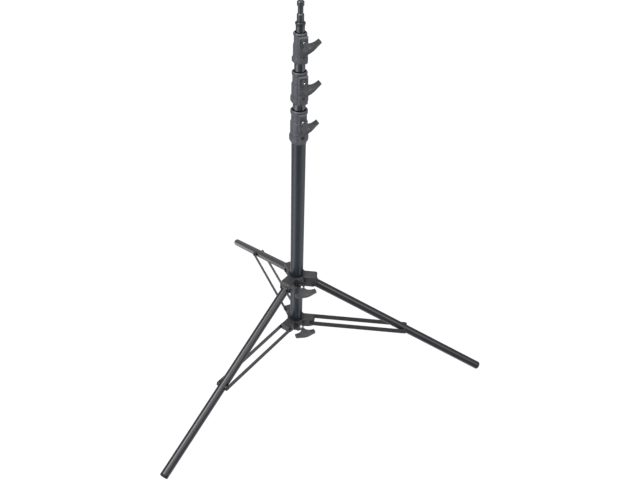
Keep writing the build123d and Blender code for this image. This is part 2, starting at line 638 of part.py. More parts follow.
def collar_rivets(stage):
    """Two blind rivets that fix a collar to its tube."""
    inside = TUBE_RADII[stage] - TUBE_WALLS[stage] + 0.1
    with BuildPart() as rivets:
        for azimuth, height, surface in rivet_spots(stage):
            disc(facing(azimuth, inside, height), RIVET_SHANK, surface - inside + 0.2)
            with BuildSketch(facing(azimuth, surface + SEAT, height)):
                Circle(2 * RIVET_SHANK)
            extrude(amount=RIVET_HEAD, taper=RIVET_TAPER)
    save(rivets, f"collar_rivets_{STAGES[stage]}")


def top_riser_tube():
    """The narrowest riser, which carries the spigot."""
    with BuildPart() as tube:
        bottom = riser_bottom(2)
        inner = RISER_RADII[2] - RISER_WALLS[2]
        ring(Plane.XY.offset(bottom), RISER_RADII[2], inner, FERRULE_BOTTOM - bottom)
    save(tube, "riser_3_tube")


# ---- spigot ----------------------------------------------------------------------------------
def top_ferrule():
    """Turned ferrule in the top riser: a tapered collar outside, a bored plug inside."""
    inside = RISER_RADII[2] - RISER_WALLS[2] - NEST
    with BuildPart() as ferrule:
        with BuildSketch(Plane.XZ):
            with BuildLine():
                Polyline(
                    (STUD_WAIST + NEST, FERRULE_BOTTOM - FERRULE_DEPTH),
                    (inside, FERRULE_BOTTOM - FERRULE_DEPTH),
                    (inside, FERRULE_BOTTOM + SEAT),
                    (RISER_RADII[2] + 0.3, FERRULE_BOTTOM + SEAT),
                    (RISER_RADII[2] + 0.5, FERRULE_BOTTOM + 2),
                    (FERRULE_RADIUS, FERRULE_BOTTOM + 4.5),
                    (FERRULE_RADIUS, FERRULE_TOP - 2),
                    (FERRULE_RADIUS - 2, FERRULE_TOP),
                    (STUD_WAIST + NEST, FERRULE_TOP),
                    close=True,
                )
            make_face()
        revolve(axis=Axis.Z)
        with BuildSketch(facing(0, 0, STUD_PIN_HEIGHT)):
            Circle(STUD_PIN_RADIUS + NEST)
        extrude(amount=RISER_RADII[2], both=True, mode=Mode.SUBTRACT)
    save(ferrule, "top_ferrule")


def stud():
    """Steel spigot with a waist between its land and its head."""
    with BuildPart() as spigot:
        with BuildSketch(Plane.XZ):
            with BuildLine():
                Polyline(
                    (0, FERRULE_BOTTOM - STUD_DEPTH),
                    (STUD_WAIST, FERRULE_BOTTOM - STUD_DEPTH),
                    (STUD_WAIST, FERRULE_TOP + SEAT),
                    (STUD_RADIUS - 0.3, FERRULE_TOP + SEAT),
                    (STUD_RADIUS, FERRULE_TOP + SEAT + 0.3),
                    (STUD_RADIUS, STUD_LAND_TOP),
                    (STUD_WAIST, STUD_LAND_TOP + 2.5),
                    (STUD_WAIST, STUD_HEAD_BOTTOM - 2),
                    (STUD_RADIUS, STUD_HEAD_BOTTOM),
                    (STUD_RADIUS, STUD_TOP - 1.5),
                    (STUD_RADIUS - 1.5, STUD_TOP),
                    (0, STUD_TOP),
                    close=True,
                )
            make_face()
        revolve(axis=Axis.Z)
        with BuildSketch(facing(0, 0, STUD_PIN_HEIGHT)):
            Circle(STUD_PIN_RADIUS + NEST)
        extrude(amount=RISER_RADII[2], both=True, mode=Mode.SUBTRACT)
    save(spigot, "stud")


def stud_pin():
    """Cross pin that locks the stud in the ferrule."""
    half = RISER_RADII[2] - RISER_WALLS[2] - 0.2
    with BuildPart() as pin:
        disc(facing(0, -half, STUD_PIN_HEIGHT), STUD_PIN_RADIUS, 2 * half)
    save(pin, "stud_pin")


# ---- knobs -----------------------------------------------------------------------------------
def clamp_knob(label, base, height, turn, span=WING_SPAN, inner=WING_INNER):
    """Moulded T-knob: a round stem that flares into two flat wings with grip grooves."""
    plane = facing(KNOB_AZIMUTH, base, height, turn)
    half = span / 2
    side_plane = Plane(origin=plane.origin, x_dir=plane.x_dir, z_dir=-plane.y_dir)
    flare = [(half, inner)]
    flare += [(half * share, inner - drop) for share, drop in KNOB_FLARE]
    flare += [(KNOB_STEM_RADIUS - 0.5, inner - 10)]
    with BuildPart() as knob:
        with BuildSketch(side_plane):
            with BuildLine():
                Polyline(
                    (0, 0),
                    (KNOB_STEM_RADIUS - 0.6, 0),
                    (KNOB_STEM_RADIUS, 0.6),
                    (KNOB_STEM_RADIUS, WING_OUTER),
                    (KNOB_CROWN, KNOB_LENGTH - 0.8),
                    (0, KNOB_LENGTH - 0.8),
                    close=True,
                )
            make_face()
        revolve(axis=Axis(plane.origin, plane.z_dir))
        with BuildSketch(side_plane):
            with BuildLine():
                Spline(*flare)
                Line(flare[-1], (-flare[-1][0], flare[-1][1]))
                Spline(*[(-x, y) for x, y in flare])
                Polyline(
                    (-half, inner),
                    (-half, WING_OUTER),
                    (-KNOB_CROWN, KNOB_LENGTH),
                    (KNOB_CROWN, KNOB_LENGTH),
                    (half, WING_OUTER),
                    (half, inner),
                )
            make_face()
        extrude(amount=WING_THICKNESS / 2, both=True)
        flats = knob.faces().filter_by(GeomType.PLANE)
        tips = flats.filter_by(lambda f: abs(f.normal_at().dot(plane.x_dir)) > 0.99)
        fillet(tips.edges(), WING_ROUND)
        for side in (-1, 1):
            for step in range(GRIP_GROOVES):
                along = side * (half - GRIP_START - step * GRIP_PITCH)
                with BuildSketch(plane.offset(inner - 3)):
                    with Locations((along, WING_THICKNESS / 2), (along, -WING_THICKNESS / 2)):
                        Circle(GRIP_RADIUS)
                extrude(amount=KNOB_LENGTH, mode=Mode.SUBTRACT)
        disc(plane.offset(-OVERCUT), SCREW_RADIUS + NEST, SCREW_DEPTH + OVERCUT, mode=Mode.SUBTRACT)
    save(knob, f"{label}_knob")


def clamp_screw(label, base, height, tip):
    """Zinc-plated screw moulded into a knob, reaching in to the tube or to the brake shoe."""
    with BuildPart() as screw:
        disc(facing(KNOB_AZIMUTH, tip, height), SCREW_RADIUS, base + SCREW_DEPTH - 0.1 - tip)
        end = screw.edges().filter_by(GeomType.CIRCLE).sort_by_distance((0, 0, height))[0]
        chamfer(end, SCREW_POINT)
    save(screw, f"{label}_screw")


for index, leg_azimuth in enumerate(LEG_AZIMUTHS, start=1):
    leg_tube(index, leg_azimuth)
    leg_plug(index, leg_azimuth)
    leg_foot(index, leg_azimuth)
    leg_bolt(index, leg_azimuth)
    leg_spacers(index, leg_azimuth)
    brace_bars(index, leg_azimuth)
    brace_rivets(index, leg_azimuth)

leg_hub()
leg_pivot_bolts()
brace_collar()
brace_pins()
casting_bush("hub_bush", HUB_BOTTOM, BASE_RADIUS + SLIDE_GAP, HUB_KNOB_HEIGHT)
casting_bush("brace_collar_bush", BRACE_COLLAR_BOTTOM, BASE_RADIUS + NEST, BRACE_PIVOT_HEIGHT)

base_end_cap()
column_tube("base_tube", 0, BASE_BOTTOM)
column_tube("riser_1_tube", 1, riser_bottom(0))
column_tube("riser_2_tube", 2, riser_bottom(1))
top_riser_tube()
for level in range(3):
    riser_bush(level)
    mast_collar(level)
    guide_bush(level)
    brake_shoe(level)
    collar_rivets(level)
    knob_height = COLLAR_TOPS[level] - KNOB_DROP[level]
    clamp_knob(f"collar_{STAGES[level]}", KNOB_BASES[level], knob_height, KNOB_TURNS[level])
    shoe_face = RISER_RADII[level] + SHOE_DEPTH + 0.3
    clamp_screw(f"collar_{STAGES[level]}", KNOB_BASES[level], knob_height, shoe_face)

top_ferrule()
stud()
stud_pin()
lower_wings = (LOWER_WING_SPAN, LOWER_WING_INNER)
clamp_knob("hub", HUB_KNOB_BASE, HUB_KNOB_HEIGHT, HUB_KNOB_TURN, *lower_wings)
clamp_screw("hub", HUB_KNOB_BASE, HUB_KNOB_HEIGHT, BASE_RADIUS + 0.4)
clamp_knob("brace_collar", BRACE_KNOB_BASE, BRACE_PIVOT_HEIGHT, BRACE_KNOB_TURN, *lower_wings)
clamp_screw("brace_collar", BRACE_KNOB_BASE, BRACE_PIVOT_HEIGHT, BASE_RADIUS + 0.4)
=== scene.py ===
import json
import math

import bmesh
import bpy
from mathutils import Matrix, Vector


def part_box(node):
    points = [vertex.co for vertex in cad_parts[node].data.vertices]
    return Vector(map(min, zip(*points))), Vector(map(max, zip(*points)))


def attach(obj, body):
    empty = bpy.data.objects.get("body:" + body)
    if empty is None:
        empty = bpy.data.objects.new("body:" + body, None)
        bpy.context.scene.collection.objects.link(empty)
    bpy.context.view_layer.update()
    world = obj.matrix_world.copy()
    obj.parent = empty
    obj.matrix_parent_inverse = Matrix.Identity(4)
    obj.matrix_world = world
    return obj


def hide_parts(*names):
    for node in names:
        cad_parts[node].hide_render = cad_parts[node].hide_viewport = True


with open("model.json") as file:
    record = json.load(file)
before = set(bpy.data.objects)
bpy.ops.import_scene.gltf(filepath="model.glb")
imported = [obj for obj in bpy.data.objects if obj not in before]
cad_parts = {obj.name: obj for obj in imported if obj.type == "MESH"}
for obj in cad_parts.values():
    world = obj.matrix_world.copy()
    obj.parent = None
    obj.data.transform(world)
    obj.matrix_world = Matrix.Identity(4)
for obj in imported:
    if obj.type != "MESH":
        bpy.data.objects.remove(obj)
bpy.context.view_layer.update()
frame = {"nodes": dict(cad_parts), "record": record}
record = frame["record"]
nodes = frame["nodes"]
joints = {joint["name"]: joint for joint in record["behaviour"]["joints"]}
MM = 0.001
LEGS = (1, 2, 3)
KNOBS = ("hub", "brace_collar", "collar_lower", "collar_middle", "collar_upper")
STAGES = {"lower": "column", "middle": "riser_1", "upper": "riser_2"}

# ---- materials -------------------------------------------------------------------------------
EVEN = (1, 1, 1)
DRAWN = (1, 1, 0.03)  # grain drawn out along Z, as on an extruded tube
TURNED = (0.03, 0.03, 1)  # grain in rings about Z, as on a lathe
CLOUD_SIZE = 25  # mm, of the broad drift of colour and gloss
SPECKLE_SIZE = 3  # mm, of the patches on top of it
DRIFT_SPAN = (0.35, 0.65)  # values of the drift between which a surface goes from dark to light
FLAT_FACING = 0.995  # how far a rounded normal agrees with the true one where no edge is near
EDGE_FACING = 0.85  # the same on an edge that is rubbed the most
WORN_GAIN = 2.2  # rubbed edges are this much lighter than the surface
WORN_BASE = 0.05
PAINTED_SHADE_GAIN = 0.25  # painted shade in corners, against the dark colour
CORNER_REACH = 20 * MM  # how far from a wall a corner still counts as one
CORNER_SPAN = (0.35, 0.9)  # openness of the deepest corner and of a free surface
BUMP_STRENGTH = 0.7
BEVEL_SAMPLES = 4
CORNER_SAMPLES = 6


def finish(name, dark, light, gloss, specular=0.5, metallic=0.0, grain=0.4, height=0.01,
           stretch=EVEN, edge=0.3, wear=0.3, shade=0.0):
    """Makes a slot's material.

    dark and light are the two base colours that drift into each other, gloss is the range of
    roughness, grain and height are the surface grain's size and depth in mm, edge is the radius
    in mm to which edges look rounded, wear lightens them, and shade paints shade into corners.
    """
    material = bpy.data.materials.new(name)
    material.use_nodes = True
    tree = material.node_tree
    link = tree.links.new
    new = tree.nodes.new
    shader = tree.nodes["Principled BSDF"]
    shader.inputs["Metallic"].default_value = metallic
    shader.inputs["Specular IOR Level"].default_value = specular

    def maths(operation, first, second):
        node = new("ShaderNodeMath")
        node.operation = operation
        for socket, value in zip(node.inputs, (first, second)):
            if isinstance(value, (int, float)):
                socket.default_value = value
            else:
                link(value, socket)
        return node.outputs[0]

    def remap(value, span, result):
        node = new("ShaderNodeMapRange")
        node.inputs["From Min"].default_value = span[0]
        node.inputs["From Max"].default_value = span[1]
        node.inputs["To Min"].default_value = result[0]
        node.inputs["To Max"].default_value = result[1]
        link(value, node.inputs["Value"])
        return node.outputs["Result"]

    def mix(factor, first, second):
        node = new("ShaderNodeMix")
        node.data_type = "RGBA"
        for socket, value in ((node.inputs["A"], first), (node.inputs["B"], second)):
            if isinstance(value, tuple):
                socket.default_value = (*value, 1)
            else:
                link(value, socket)
        link(factor, node.inputs["Factor"])
        return node.outputs["Result"]

    def noise(size, detail, scale):
        mapping = new("ShaderNodeMapping")
        mapping.inputs["Scale"].default_value = scale
        link(place.outputs["Object"], mapping.inputs["Vector"])
        node = new("ShaderNodeTexNoise")
        node.inputs["Scale"].default_value = 1 / (size * MM)
        node.inputs["Detail"].default_value = detail
        link(mapping.outputs["Vector"], node.inputs["Vector"])
        return node.outputs["Fac"]

    place = new("ShaderNodeTexCoord")
    clouds = noise(CLOUD_SIZE, detail=6, scale=EVEN)
    speckle = noise(SPECKLE_SIZE, detail=4, scale=EVEN)
    fine = noise(grain, detail=3, scale=stretch)
    drift = maths("ADD", maths("MULTIPLY", clouds, 0.5), maths("MULTIPLY", speckle, 0.5))
    base = mix(remap(drift, DRIFT_SPAN, (0, 1)), dark, light)

    rounded = new("ShaderNodeBevel")
    rounded.samples = BEVEL_SAMPLES
    rounded.inputs["Radius"].default_value = edge * MM
    flat = new("ShaderNodeNewGeometry")
    facing = new("ShaderNodeVectorMath")
    facing.operation = "DOT_PRODUCT"
    link(rounded.outputs["Normal"], facing.inputs[0])
    link(flat.outputs["Normal"], facing.inputs[1])
    rubbed = remap(facing.outputs["Value"], (FLAT_FACING, EDGE_FACING), (0, wear))
    worn = tuple(min(1.0, WORN_BASE + WORN_GAIN * channel) for channel in light)
    base = mix(maths("MULTIPLY", rubbed, speckle), base, worn)
    if shade:
        # painted shade: where ambient occlusion finds a corner, the base colour is darkened as if shade
        # fell there
        corner = new("ShaderNodeAmbientOcclusion")
        corner.samples = CORNER_SAMPLES
        corner.inputs["Distance"].default_value = CORNER_REACH
        painted_shade_colour = tuple(PAINTED_SHADE_GAIN * channel for channel in dark)
        base = mix(remap(corner.outputs["AO"], CORNER_SPAN, (shade, 0)), base, painted_shade_colour)
    link(base, shader.inputs["Base Color"])
    link(remap(drift, DRIFT_SPAN, gloss), shader.inputs["Roughness"])

    bump = new("ShaderNodeBump")
    bump.inputs["Strength"].default_value = BUMP_STRENGTH
    bump.inputs["Distance"].default_value = height * MM
    link(fine, bump.inputs["Height"])
    link(rounded.outputs["Normal"], bump.inputs["Normal"])
    link(bump.outputs["Normal"], shader.inputs["Normal"])
    return material


materials = {
    "mast_black": finish(
        "mast_black", dark=(0.005, 0.010, 0.015), light=(0.009, 0.016, 0.023), gloss=(0.31, 0.40),
        grain=0.35, height=0.004, stretch=DRAWN, edge=0.15, wear=0.15),
    "riser_black": finish(
        "riser_black", dark=(0.004, 0.006, 0.010), light=(0.006, 0.010, 0.016), gloss=(0.15, 0.21),
        specular=1.0, grain=0.35, height=0.002, stretch=DRAWN, edge=0.15, wear=0.1),
    "leg_black": finish(
        "leg_black", dark=(0.009, 0.007, 0.009), light=(0.013, 0.011, 0.014), gloss=(0.21, 0.29),
        grain=0.5, height=0.004, edge=0.15, wear=0.15),
    "collar_casting": finish(
        "collar_casting", dark=(0.049, 0.052, 0.059), light=(0.086, 0.089, 0.099), gloss=(0.40, 0.55),
        specular=0.55, metallic=0.1, grain=0.9, height=0.09, edge=0.5, wear=0.7, shade=1.0),
    "hub_casting": finish(
        "hub_casting", dark=(0.018, 0.018, 0.020), light=(0.042, 0.042, 0.046), gloss=(0.38, 0.52),
        metallic=0.1, grain=0.9, height=0.09, edge=0.6, wear=0.7, shade=1.0),
    "black_plastic": finish(
        "black_plastic", dark=(0.006, 0.006, 0.008), light=(0.010, 0.010, 0.012), gloss=(0.28, 0.38),
        height=0.01, edge=0.3, wear=0.2, shade=0.5),
    "brake_nylon": finish(
        "brake_nylon", dark=(0.45, 0.44, 0.40), light=(0.55, 0.54, 0.49), gloss=(0.5, 0.6),
        specular=0.4, grain=0.5, wear=0.1),
    "knob_plastic": finish(
        "knob_plastic", dark=(0.029, 0.030, 0.031), light=(0.057, 0.058, 0.060), gloss=(0.36, 0.5),
        grain=0.6, height=0.04, edge=0.5, wear=0.8, shade=1.0),
    "zinc_steel": finish(
        "zinc_steel", dark=(0.62, 0.62, 0.64), light=(0.80, 0.80, 0.82), gloss=(0.2, 0.34),
        metallic=1.0, height=0.006, edge=0.15, wear=0.1),
    "foot_rubber": finish(
        "foot_rubber", dark=(0.008, 0.008, 0.009), light=(0.014, 0.014, 0.015), gloss=(0.55, 0.75),
        specular=0.35, grain=0.6, height=0.03, edge=0.4, wear=0.2, shade=0.5),
    "brace_steel": finish(
        "brace_steel", dark=(0.012, 0.012, 0.013), light=(0.024, 0.024, 0.026), gloss=(0.34, 0.48),
        metallic=0.2, grain=0.5, height=0.01, edge=0.25, wear=0.7),
    "ferrule_black": finish(
        "ferrule_black", dark=(0.016, 0.018, 0.022), light=(0.030, 0.032, 0.038), gloss=(0.26, 0.36),
        metallic=0.3, grain=0.3, height=0.006, stretch=TURNED, edge=0.25, wear=0.5, shade=0.5),
    "stud_black": finish(
        "stud_black", dark=(0.045, 0.048, 0.053), light=(0.075, 0.078, 0.085), gloss=(0.22, 0.32),
        specular=0.8, metallic=0.7, grain=0.3, height=0.008, stretch=TURNED, edge=0.3, wear=0.7, shade=0.5),
    "black_fastener": finish(
        "black_fastener", dark=(0.010, 0.010, 0.012), light=(0.022, 0.022, 0.025), gloss=(0.28, 0.4),
        metallic=0.3, height=0.006, edge=0.25, wear=0.6, shade=0.6),
}
for part in record["subparts"]:
    mesh = nodes[part["node"]].data
    if not mesh.materials:
        mesh.materials.append(None)
    for index in range(len(mesh.materials)):
        mesh.materials[index] = materials[part["material_slot"]]


# ---- helpers for detailed pieces -------------------------------------------------------------
SMOOTH_ANGLE = 35  # degrees; a sharper edge than this looks creased
THREAD_SMOOTH_ANGLE = 50


def new_piece(name, builder, slot, body, node, smooth_angle=SMOOTH_ANGLE):
    """Turns a bmesh into an object that rides on a CAD body and stands for a CAD node."""
    mesh = bpy.data.meshes.new(name)
    bmesh.ops.recalc_face_normals(builder, faces=builder.faces)
    builder.to_mesh(mesh)
    builder.free()
    piece = bpy.data.objects.new(name, mesh)
    bpy.context.collection.objects.link(piece)
    mesh.materials.append(materials[slot])
    mesh.shade_smooth()
    mesh.set_sharp_from_angle(angle=math.radians(smooth_angle))
    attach(piece, body)
    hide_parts(node)


def axis_frame(origin, axis):
    """Matrix whose local z runs along an axis from an origin."""
    turn = Vector(axis).to_track_quat("Z", "Y").to_matrix().to_4x4()
    return Matrix.Translation(origin) @ turn


def loft(builder, matrix, rings):
    """Skins rings of local points, all with the same count, and caps both ends."""
    made = [[builder.verts.new(matrix @ Vector(point)) for point in ring] for ring in rings]
    count = len(made[0])
    for lower, upper in zip(made, made[1:]):
        for k in range(count):
            following = (k + 1) % count
            builder.faces.new((lower[k], lower[following], upper[following], upper[k]))
    builder.faces.new(list(reversed(made[0])))
    builder.faces.new(made[-1])


ROUND_SIDES = 48


def circle(radius, height):
    """Ring of local points on a circle."""
    angles = [2 * math.pi * k / ROUND_SIDES for k in range(ROUND_SIDES)]
    return [(radius * math.cos(angle), radius * math.sin(angle), height) for angle in angles]


def hexagon(flats, height):
    """Ring of local points, as many as a circle has, on a hexagon that measures flats across."""
    sector = math.pi / 3
    ring = []
    for k in range(ROUND_SIDES):
        angle = 2 * math.pi * k / ROUND_SIDES
        radius = flats / 2 / math.cos(angle % sector - sector / 2)
        ring.append((radius * math.cos(angle), radius * math.sin(angle), height))
    return ring


def turned(builder, matrix, profile):
    """Skins a closed profile of (radius, height) pairs about the local z axis."""
    loft(builder, matrix, [circle(radius, height) for radius, height in profile])


def extent(node, origin, axis, within):
    """Lowest and highest place along an axis, and widest radius, of a node's surface near the axis."""
    along = []
    widest = 0.0
    for vertex in nodes[node].data.vertices:
        offset = vertex.co - origin
        place = offset.dot(axis)
        radius = (offset - axis * place).length
        if radius < within:
            along.append(place)
            widest = max(widest, radius)
    return min(along), max(along), widest


# ---- clamp screws ----------------------------------------------------------------------------
THREAD_PITCH = 1.25 * MM
THREAD_DEPTH = 0.55 * MM
THREAD_SIDES = 28
RINGS_PER_TURN = 8
CREST_FLAT = 1.5  # how much steeper the flanks are than a sharp thread's, which leaves flat crests
CREST_INSET = 0.02 * MM  # the crests stay this far inside the plain screw
POINT_SHARE = 0.82  # radius of the screw's point, against the full radius
POINT_START = 0.35  # how much of the lead-in the very end has already
SEARCH_RADIUS = 10 * MM  # a screw's, bolt's or pin's surface lies nearer to its axis than this


def threaded_screw(label):
    """Clamp screw with a rolled thread, standing for the plain CAD screw."""
    node = f"{label}_screw"
    joint = joints[f"{label}_knob_turn"]
    axis = Vector(joint["axis"])
    middle = sum((Vector(corner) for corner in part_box(node)), Vector()) / 2
    foot = Vector((0, 0, middle.z))
    start, end, radius = extent(node, foot, axis, within=SEARCH_RADIUS)
    length = end - start
    steps = int(length / THREAD_PITCH * RINGS_PER_TURN)
    rings = []
    for step in range(steps + 1):
        along = length * step / steps
        lead = min(1.0, along / THREAD_PITCH + POINT_START)
        ring = []
        for k in range(THREAD_SIDES):
            angle = 2 * math.pi * k / THREAD_SIDES
            phase = (along / THREAD_PITCH - k / THREAD_SIDES) % 1.0
            crest = 1 - abs(2 * phase - 1)
            depth = THREAD_DEPTH * (1 - min(1.0, CREST_FLAT * crest))
            taper = POINT_SHARE + (1 - POINT_SHARE) * lead
            reach = (radius - CREST_INSET - depth) * taper
            ring.append((reach * math.cos(angle), reach * math.sin(angle), start + along))
        rings.append(ring)
    builder = bmesh.new()
    loft(builder, axis_frame(foot, axis), rings)
    name = f"{label}_screw_threaded"
    new_piece(name, builder, "zinc_steel", f"{label}_knob", node, THREAD_SMOOTH_ANGLE)


for knob_label in KNOBS:
    threaded_screw(knob_label)

# ---- bolts, pins and rivets ------------------------------------------------------------------
HEAD_HEIGHT = 3.0 * MM
PIVOT_SHANK = 4.0 * MM
NUT_FLATS = 11.0 * MM
PIN_SHANK = 3.0 * MM
SPIGOT_LENGTH = 1.7 * MM  # of a brace bolt's head, into its bar
RIVET_RISE = 1.1 * MM
RIVET_DEPTH = 6.0 * MM
RIVET_SEARCH_RADIUS = 5 * MM


def hinge_line(name):
    """A hinge's place and axis."""
    return Vector(joints[name]["pos_m"]), Vector(joints[name]["axis"])


def domed_end(seat, radius, rise):
    """Profile of a domed head with a small dimple, from the shank outward."""
    return [
        (radius, seat),
        (radius, seat + 0.2 * rise),
        (0.93 * radius, seat + 0.5 * rise),
        (0.76 * radius, seat + 0.8 * rise),
        (0.50 * radius, seat + 0.97 * rise),
        (0.27 * radius, seat + rise),
        (0.20 * radius, seat + 0.9 * rise),
    ]


def pivot_bolts():
    """Hub bolts: a button head with a hexagon socket, and a locking nut with the bolt's end in it."""
    builder = bmesh.new()
    for k in LEGS:
        origin, axis = hinge_line(f"leg_{k}_hinge")
        axis = -axis
        low, high, radius = extent("leg_pivot_bolts", origin, axis, within=SEARCH_RADIUS)
        seat = high - HEAD_HEIGHT
        foot = low + HEAD_HEIGHT
        rings = [
            # the bolt's end, inside the nut's collar
            circle(0.72 * PIVOT_SHANK, low),
            circle(0.9 * PIVOT_SHANK, low + 0.3 * MM),
            circle(0.9 * PIVOT_SHANK, low + 0.9 * MM),
            # the locking nut
            circle(0.44 * NUT_FLATS, low + 0.8 * MM),
            circle(0.48 * NUT_FLATS, low + 1.1 * MM),
            hexagon(0.95 * NUT_FLATS, low + 1.4 * MM),
            hexagon(NUT_FLATS, low + 1.7 * MM),
            hexagon(NUT_FLATS, foot),
            # the shank
            circle(PIVOT_SHANK, foot),
            circle(PIVOT_SHANK, seat),
            # the button head and its socket
            circle(radius, seat),
            circle(radius, seat + 0.5 * HEAD_HEIGHT),
            circle(0.93 * radius, seat + 0.78 * HEAD_HEIGHT),
            circle(0.80 * radius, seat + 0.95 * HEAD_HEIGHT),
            circle(0.66 * radius, high),
            hexagon(PIVOT_SHANK, high),
            hexagon(PIVOT_SHANK, high - 0.65 * HEAD_HEIGHT),
        ]
        loft(builder, axis_frame(origin, axis), rings)
    new_piece("pivot_bolts_detailed", builder, "black_fastener", "hub", "leg_pivot_bolts")


def lug_pins():
    """Pins of the brace collar, with a domed and dimpled head at each end."""
    builder = bmesh.new()
    for k in LEGS:
        origin, axis = hinge_line(f"brace_{k}_hinge")
        high, radius = extent("brace_pins", origin, axis, within=SEARCH_RADIUS)[1:]
        seat = high - HEAD_HEIGHT
        end = [(PIN_SHANK, seat)] + domed_end(seat, radius, HEAD_HEIGHT)
        other_end = [(out, -along) for out, along in reversed(end)]
        turned(builder, axis_frame(origin, axis), other_end + end)
    new_piece("lug_pins_detailed", builder, "black_fastener", "column", "brace_pins")


def brace_bolt_line(k):
    """Place and axis of the bolt that joins a leg to its brace."""
    low, high = (Vector(corner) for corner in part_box(f"leg_bolt_{k}"))
    return (low + high) / 2, Vector(joints[f"leg_{k}_hinge"]["axis"])


def brace_bolt_heads(k):
    """The two heads of a brace bolt, with the spigots that the bars turn on."""
    origin, axis = brace_bolt_line(k)
    node = f"brace_rivets_{k}"
    high, radius = extent(node, origin, axis, within=SEARCH_RADIUS)[1:]
    seat = high - HEAD_HEIGHT
    spigot = [(PIN_SHANK, seat - SPIGOT_LENGTH), (PIN_SHANK, seat)]
    profile = spigot + domed_end(seat, radius, HEAD_HEIGHT)
    builder = bmesh.new()
    for direction in (axis, -axis):
        turned(builder, axis_frame(origin, direction), profile)
    new_piece(f"brace_bolt_heads_{k}", builder, "black_fastener", f"brace_{k}", node)


def collar_blind_rivets(stage, body):
    """Blind rivets of a mast collar: a flanged head with the broken mandrel's hole."""
    node = f"collar_rivets_{stage}"
    knob_axis = Vector(joints[f"collar_{stage}_knob_turn"]["axis"])
    builder = bmesh.new()
    for axis in (knob_axis, -knob_axis):
        heights = [vertex.co.z for vertex in nodes[node].data.vertices if vertex.co.dot(axis) > 0]
        origin = Vector((0, 0, (min(heights) + max(heights)) / 2))
        top, radius = extent(node, origin, axis, within=RIVET_SEARCH_RADIUS)[1:]
        seat = top - RIVET_RISE
        profile = [
            (radius / 2, seat - RIVET_DEPTH),
            (radius / 2, seat),
            (radius, seat),
            (0.95 * radius, seat + 0.35 * RIVET_RISE),
            (0.72 * radius, seat + 0.8 * RIVET_RISE),
            (0.48 * radius, top),
            (0.34 * radius, top - 0.05 * RIVET_RISE),
            (0.30 * radius, top - 0.7 * RIVET_RISE),
        ]
        turned(builder, axis_frame(origin, axis), profile)
    new_piece(f"blind_rivets_{stage}", builder, "black_fastener", body, node)


pivot_bolts()
lug_pins()
for leg in LEGS:
    brace_bolt_heads(leg)
for stage_name, stage_body in STAGES.items():
    collar_blind_rivets(stage_name, stage_body)

# ---- feet ------------------------------------------------------------------------------------
CAP_LENGTH = 7.0 * MM
CAP_ROUND = 2.5 * MM
ROUND_STEPS = 6
PLUG_INSET = 1.55 * MM  # from the cap's outside to the plug that sits in the leg
RIB_COUNT = 3
RIB_START = 0.8 * MM
RIB_PITCH = 1.1 * MM
RIB_DEPTH = 0.35 * MM
RIB_SLOPE = 0.15 * MM
RIB_GROOVE = 0.55 * MM
TREAD_DEPTH = 0.6 * MM
TREAD_SLOPE = 0.2 * MM
TREAD_RINGS = ((7.2 * MM, 5.6 * MM), (3.6 * MM, 2.0 * MM))  # outer and inner radius of each groove
FOOT_SEARCH_RADIUS = 20 * MM


def ribbed_foot(k):
    """Rubber foot with ribs round its cap and two ring grooves in its end."""
    node = f"leg_foot_{k}"
    pivot, _ = hinge_line(f"leg_{k}_hinge")
    low_corner, high_corner = (Vector(corner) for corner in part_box(f"leg_tube_{k}"))
    axis = ((low_corner + high_corner) / 2 - pivot).normalized()
    low, high, radius = extent(node, pivot, axis, within=FOOT_SEARCH_RADIUS)
    shoulder = high - CAP_LENGTH
    plug = radius - PLUG_INSET
    profile = [(plug, low), (plug, shoulder), (radius, shoulder)]
    for rib in range(RIB_COUNT):
        start = shoulder + RIB_START + rib * RIB_PITCH
        profile += [
            (radius, start),
            (radius - RIB_DEPTH, start + RIB_SLOPE),
            (radius - RIB_DEPTH, start + RIB_GROOVE - RIB_SLOPE),
            (radius, start + RIB_GROOVE),
        ]
    for step in range(ROUND_STEPS + 1):
        angle = math.pi / 2 * step / ROUND_STEPS
        out = CAP_ROUND * (1 - math.cos(angle))
        profile.append((radius - out, high - CAP_ROUND + CAP_ROUND * math.sin(angle)))
    for outer, inner in TREAD_RINGS:
        profile += [
            (outer, high),
            (outer - TREAD_SLOPE, high - TREAD_DEPTH),
            (inner + TREAD_SLOPE, high - TREAD_DEPTH),
            (inner, high),
        ]
    builder = bmesh.new()
    turned(builder, axis_frame(pivot, axis), profile)
    new_piece(f"ribbed_foot_{k}", builder, "foot_rubber", f"leg_{k}", node)


for leg in LEGS:
    ribbed_foot(leg)

# ---- stage -----------------------------------------------------------------------------------
FLOOR_HALF = 12.0
FLOOR_HEIGHT = -0.3 * MM
FLOOR_GLOW = 0.97
FLOOR_ALBEDO = 0.06
FLOOR_ROUGHNESS = 0.9
SKY_LEVEL = 0.42
GROUND_LEVEL = 0.40
HORIZON_BLEND = 0.1  # the ground's light turns into the sky's between minus and plus this height
STUDIO_TINT = (0.985, 0.99, 1.025)
# Soft lights of the studio: azimuth and elevation in degrees, half width in degrees, brightness.
SOFT_LIGHTS = {
    "key_left": (-148, 54, 13, 11.0),
    "front_top": (-80, 52, 16, 2.6),
    "fill_right": (-30, 40, 15, 3.6),
    "low_left": (-143, -34, 18, 2.4),
    "low_right": (-8, -36, 26, 1.0),
    "rim_behind": (75, 60, 20, 1.5),
    "low_behind": (133, -35, 6, 2.2),
    "floor_bounce": (-95, -75, 22, 0.7),
}


